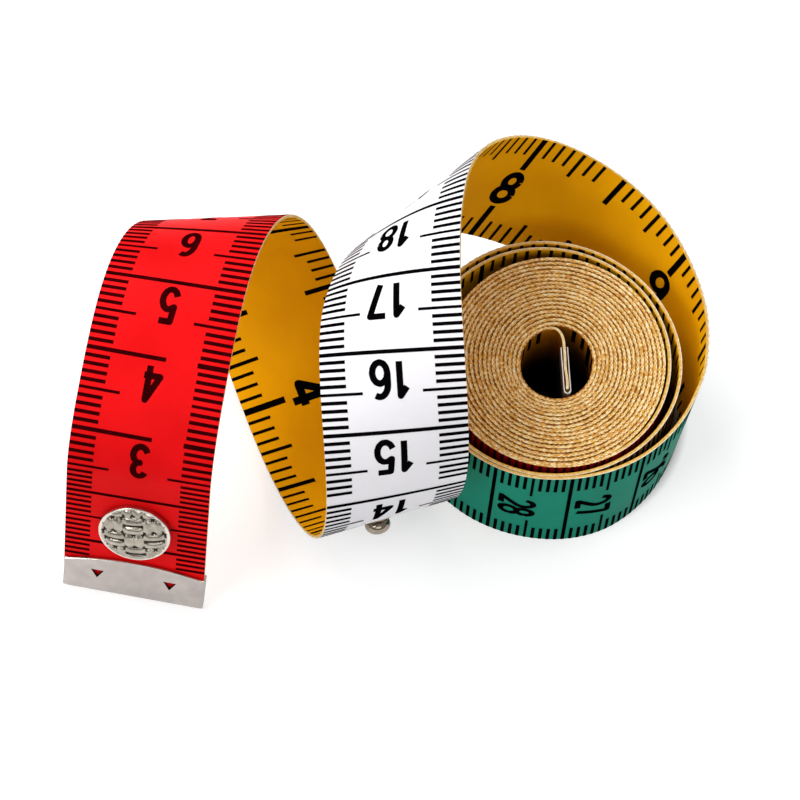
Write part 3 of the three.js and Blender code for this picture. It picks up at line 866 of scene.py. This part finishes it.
def weave(x, y):
    """Height of the basket weave at a place on the cap, 0 to 1."""
    ca, sa = math.cos(math.radians(WEAVE_TURN)), math.sin(math.radians(WEAVE_TURN))
    u = (x * ca - y * sa) / WEAVE_CELL + WEAVE_AT[0]
    v = (x * sa + y * ca) / WEAVE_CELL + WEAVE_AT[1]
    i, j = math.floor(u), math.floor(v)
    fu, fv = u - i, v - j
    upright = (i + j) % 2 == 0
    p, q = (fu, fv) if upright else (fv, fu)
    strand = abs(math.sin(math.pi * 2 * p))
    near_end = min(q, 1 - q) < 0.2
    over = 0.55 + 0.45 * min(1.0, min(q, 1 - q) * 5)
    if upright and near_end:
        ridge = strand ** 1.2
    elif upright or min(p, 1 - p) < 0.2:
        ridge = 0.38 + 0.62 * strand ** 0.6
    else:
        ridge = strand ** 0.9
    return ridge * over * (0.8 + 0.2 * math.sin(math.pi * q))


def make_cap():
    """The cap from rings of points: the woven dome, the rim, and the hollow below."""
    rings, seg = 90, 180
    base = CAP_FOOT + CAP_HEIGHT - CAP_CROWN * DOME_TO ** 2
    verts = [Vector((0, 0, CAP_FOOT + CAP_HEIGHT))]
    faces, index, radii = [], [], []
    for i in range(1, rings + 1):
        r = CAP_RADIUS * DOME_TO * i / rings
        radii.append(r)
        fade = min(1.0, max(0.0, (CAP_RADIUS * WEAVE_TO - r) / WEAVE_RUNOUT))
        for j in range(seg):
            a = 2 * math.pi * j / seg
            x, y = r * math.cos(a), r * math.sin(a)
            z = CAP_FOOT + CAP_HEIGHT - CAP_CROWN * (r / CAP_RADIUS) ** 2
            verts.append(Vector((x, y, z + WEAVE_HIGH * (weave(x, y) - WEAVE_LEVEL) * fade)))
    rim = [(0.975, base + 0.1), (0.995, base + 0.02), (1.0, base - 0.12), (1.0, base - 0.5),
           (0.985, CAP_FOOT + 0.12), (0.96, CAP_FOOT), (0.9, CAP_FOOT), (0.88, CAP_FOOT + 0.2),
           (0.86, base - CAP_HOLLOW)]
    for share, z in rim:
        r = CAP_RADIUS * share
        for j in range(seg):
            a = 2 * math.pi * j / seg
            verts.append(Vector((r * math.cos(a), r * math.sin(a), z)))
    total = rings + len(rim)
    for j in range(seg):
        faces.append((0, 1 + j, 1 + (j + 1) % seg))
        index.append(0)
    for i in range(total - 1):
        ring, outer_ring = 1 + i * seg, 1 + (i + 1) * seg
        for j in range(seg):
            k = (j + 1) % seg
            faces.append((ring + j, outer_ring + j, outer_ring + k, ring + k))
            # Faces in the weave's low places take the dark recess metal, a painted shade, and those
            # near the rim the brighter nickel, a painted highlight
            deep = False
            if 0 < i < rings and radii[i] < CAP_RADIUS * HOLLOW_TO:
                a = 2 * math.pi * (j + 0.5) / seg
                deep = weave(radii[i] * math.cos(a), radii[i] * math.sin(a)) < WEAVE_SHADE_LEVEL
            index.append(1 if deep else 2 if i >= rings - HIGHLIGHT_RINGS else 0)
    verts.append(Vector((0, 0, base - CAP_HOLLOW)))
    top = len(verts) - 1
    for j in range(seg):
        faces.append((top, 1 + (total - 1) * seg + (j + 1) % seg, 1 + (total - 1) * seg + j))
        index.append(0)
    piece = new_object("snap_cap_woven", verts, faces, [CAP, RECESS_SHADE, NICKEL], index)
    tilt = Matrix.Rotation(math.radians(CAP_TILT), 4, "X")
    piece.data.transform(place_on_tape(SNAP_PLACE) @ tilt)
    piece.data.transform(Matrix.Scale(MM, 4))
    fix_normals(piece)
    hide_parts("snap_cap", "snap_rivet")
    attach(piece, "red_run")


make_cap()


# A point on the axis of a turned piece keeps this radius until the points there are merged
AXIS_R, AXIS_MERGE = 0.001, 0.004
TURNED_SEGMENTS, TURNED_CRISP = 64, 38


def lathe(name, profile, matrix, body, node, metal):
    """A turned metal piece from its profile of radius and height."""
    verts, faces = [], []
    n = len(profile)
    for j in range(TURNED_SEGMENTS):
        a = 2 * math.pi * j / TURNED_SEGMENTS
        for radius, z in profile:
            r = max(radius, AXIS_R)
            verts.append(Vector((r * math.cos(a), r * math.sin(a), z)))
    for j in range(TURNED_SEGMENTS):
        k = (j + 1) % TURNED_SEGMENTS
        for i in range(n - 1):
            faces.append((j * n + i, k * n + i, k * n + i + 1, j * n + i + 1))
    piece = new_object(name, verts, faces, [metal])
    fix_normals(piece, merge=AXIS_MERGE)
    piece.data.transform(matrix)
    piece.data.transform(Matrix.Scale(MM, 4))
    split_edges(piece, TURNED_CRISP)
    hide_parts(node)
    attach(piece, body)


# The other halves of the snap, on the front and on the back of the tape
STUD_ASIDE = 0.5
STUD_FOOT = 0.24
EYELET_FOOT = -0.3
SOCKET_TOP = -0.24
# The stud's ball is a little flat
BALL_MIDDLE = STUD_FOOT + 1.75
BALL_R, BALL_HIGH = 1.68, 1.3
ball = []
for angle in range(12, 128, 12):
    turn = math.radians(angle)
    ball.append((BALL_R * math.sin(turn), BALL_MIDDLE + BALL_HIGH * math.cos(turn)))
stud_profile = [(0.0, BALL_MIDDLE + BALL_HIGH)] + ball + [
    (1.15, STUD_FOOT + 0.85), (1.2, STUD_FOOT + 0.6), (1.6, STUD_FOOT + 0.46),
    (2.6, STUD_FOOT + 0.42), (3.0, STUD_FOOT + 0.3), (3.1, STUD_FOOT + 0.12), (3.0, STUD_FOOT),
    (0.0, STUD_FOOT)]
eyelet_profile = [
    (0.0, EYELET_FOOT - 0.15), (0.5, EYELET_FOOT - 0.15), (0.7, EYELET_FOOT - 0.5),
    (1.1, EYELET_FOOT - 0.62), (1.6, EYELET_FOOT - 0.56), (2.4, EYELET_FOOT - 0.4),
    (2.5, EYELET_FOOT - 0.2), (2.4, EYELET_FOOT), (0.0, EYELET_FOOT)]
socket_profile = [
    (0.0, SOCKET_TOP - 0.5), (2.15, SOCKET_TOP - 0.5), (2.2, SOCKET_TOP - 0.7),
    (2.2, SOCKET_TOP - 2.2), (2.35, SOCKET_TOP - 2.5), (2.7, SOCKET_TOP - 2.65),
    (3.1, SOCKET_TOP - 2.55), (3.35, SOCKET_TOP - 2.1), (3.5, SOCKET_TOP - 1.2),
    (3.8, SOCKET_TOP - 0.75), (4.3, SOCKET_TOP - 0.6), (4.42, SOCKET_TOP - 0.4),
    (4.35, SOCKET_TOP - 0.12), (4.2, SOCKET_TOP), (0.0, SOCKET_TOP)]
stud_matrix = place_on_tape(STUD_PLACE) @ Matrix.Translation((STUD_ASIDE, 0, 0))
lathe("snap_stud_ball", stud_profile, stud_matrix, "white_run", "snap_stud", BALL)
lathe("stud_eyelet_plate", eyelet_profile, stud_matrix, "white_run", "stud_eyelet", NICKEL)
lathe("snap_socket_shell", socket_profile, place_on_tape(SNAP_PLACE), "red_run", "snap_socket",
      NICKEL)
# The spring wires are shown as the solids have them
for wire in ("socket_wire_left", "socket_wire_right"):
    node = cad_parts[wire]
    node.data.materials.clear()
    node.data.materials.append(NICKEL)

# The floor. Round the roll its colour is painted dark as shade where the turns shade it, and the
# glow ends a little further out. Both are distances from a place near the middle of the roll
SHADE_ROUND = (15.9, 16.3)
UNDER_ROLL = (16.0, 17.4)
SHADE_MIDDLE = SHIFT + Vector((1.4, 1.6, 0))
SHADE_COLOR, FLOOR_COLOR = (0.12, 0.1, 0.08, 1), (0.74, 0.74, 0.745, 1)
FLOOR_GLOW = 0.46
FLOOR_SIZE = 6


def floor_shader():
    """A pale floor that keeps the soft shadows, and shows white to the camera and in the metal,
    but not where it lies in the roll's own shade, where its colour is painted dark as shade."""
    material = bpy.data.materials.new("floor")
    material.use_nodes = True
    nodes, links = material.node_tree.nodes, material.node_tree.links
    surface = nodes["Principled BSDF"]
    surface.inputs["Roughness"].default_value = 0.9
    surface.inputs["Specular IOR Level"].default_value = 0.1
    surface.inputs["Emission Color"].default_value = (1, 1, 1, 1)
    spot = nodes.new("ShaderNodeTexCoord")
    distance = nodes.new("ShaderNodeVectorMath")
    distance.operation = "DISTANCE"
    distance.inputs[1].default_value = (SHADE_MIDDLE.x * MM, SHADE_MIDDLE.y * MM, 0)
    links.new(spot.outputs["Object"], distance.inputs[0])

    def outside(ring):
        """Rises from 0 to 1 across a ring round the roll."""
        node = nodes.new("ShaderNodeMapRange")
        node.inputs["From Min"].default_value = ring[0] * MM
        node.inputs["From Max"].default_value = ring[1] * MM
        links.new(distance.outputs["Value"], node.inputs["Value"])
        return node.outputs["Result"]

    def combine(operation, first, second):
        """The sum or product of an output and another output or a number."""
        node = nodes.new("ShaderNodeMath")
        node.operation = operation
        links.new(first, node.inputs[0])
        if isinstance(second, float):
            node.inputs[1].default_value = second
        else:
            links.new(second, node.inputs[1])
        return node.outputs[0]

    # Painted shade: the floor's colour turns dark round the roll
    shade = nodes.new("ShaderNodeValToRGB")
    shade.color_ramp.elements[0].color = SHADE_COLOR
    shade.color_ramp.elements[1].color = FLOOR_COLOR
    links.new(outside(SHADE_ROUND), shade.inputs["Fac"])
    links.new(shade.outputs["Color"], surface.inputs["Base Color"])
    rays = nodes.new("ShaderNodeLightPath").outputs
    seen = combine("ADD", rays["Is Camera Ray"], rays["Is Glossy Ray"])
    seen = combine("ADD", seen, rays["Is Transmission Ray"])
    glow = combine("MULTIPLY", outside(UNDER_ROLL), combine("MULTIPLY", seen, FLOOR_GLOW))
    links.new(glow, surface.inputs["Emission Strength"])
    return material


bpy.ops.mesh.primitive_plane_add(size=FLOOR_SIZE, location=(0, 0, 0))
floor = bpy.context.object
floor.name = "floor"
floor.data.materials.append(floor_shader())

# Light. The lamps have a name, a place and a size in metres, and a power in watts
WORLD_STRENGTH = 0.32
LAMPS_AIM = Vector((0, 0, 0.01))
LAMPS = [
    ("back_left", (-0.3, 0.28, 0.45), (0.4, 0.4), 2.5),
    ("back_right", (0.34, 0.28, 0.45), (0.4, 0.4), 1.1),
    ("left", (-0.44, -0.3, 0.5), (0.4, 0.3), 2.1),
    ("front", (0.12, -0.5, 0.4), (0.5, 0.3), 0.75),
]
world = bpy.data.worlds.new("world")
bpy.context.scene.world = world
world.use_nodes = True
sky = world.node_tree.nodes["Background"]
sky.inputs["Color"].default_value = (1, 1, 1, 1)
sky.inputs["Strength"].default_value = WORLD_STRENGTH


def area_light(name, place, size, power):
    """A soft lamp that faces the object."""
    data = bpy.data.lights.new(name, "AREA")
    data.energy = power
    data.shape = "RECTANGLE"
    data.size, data.size_y = size
    lamp = bpy.data.objects.new(name, data)
    lamp.location = place
    lamp.rotation_euler = (LAMPS_AIM - Vector(place)).to_track_quat("-Z", "Y").to_euler()
    bpy.context.scene.collection.objects.link(lamp)


for lamp_row in LAMPS:
    area_light(*lamp_row)

# Camera, fitted to the photograph: its height and roll as angles, its focal length in pixels
# of the picture, and its distance from the place it looks at
ELEV, ROLL, F_PX, DIST = math.radians(63.82), math.radians(-6.93), 4796.0, 626.7
PICTURE_PX, SENSOR = 800, 36
AIM = Vector((-19.08, 0.77, 0.0)) + SHIFT
forward = Vector((0, math.cos(ELEV), -math.sin(ELEV)))
right, up = Vector((1, 0, 0)), Vector((0, math.sin(ELEV), math.cos(ELEV)))
camera_x = right * math.cos(ROLL) - up * math.sin(ROLL)
camera_y = right * math.sin(ROLL) + up * math.cos(ROLL)
camera_data = bpy.data.cameras.new("camera")
camera_data.sensor_width = SENSOR
camera_data.lens = F_PX / PICTURE_PX * SENSOR
camera_data.clip_start = 0.01
camera = bpy.data.objects.new("camera", camera_data)
camera.matrix_world = basis(camera_x, camera_y, -forward, (AIM - forward * DIST) * MM)
bpy.context.scene.collection.objects.link(camera)
bpy.context.scene.camera = camera
bpy.context.scene.view_settings.view_transform = "Standard"
bpy.context.scene.view_settings.look = "None"
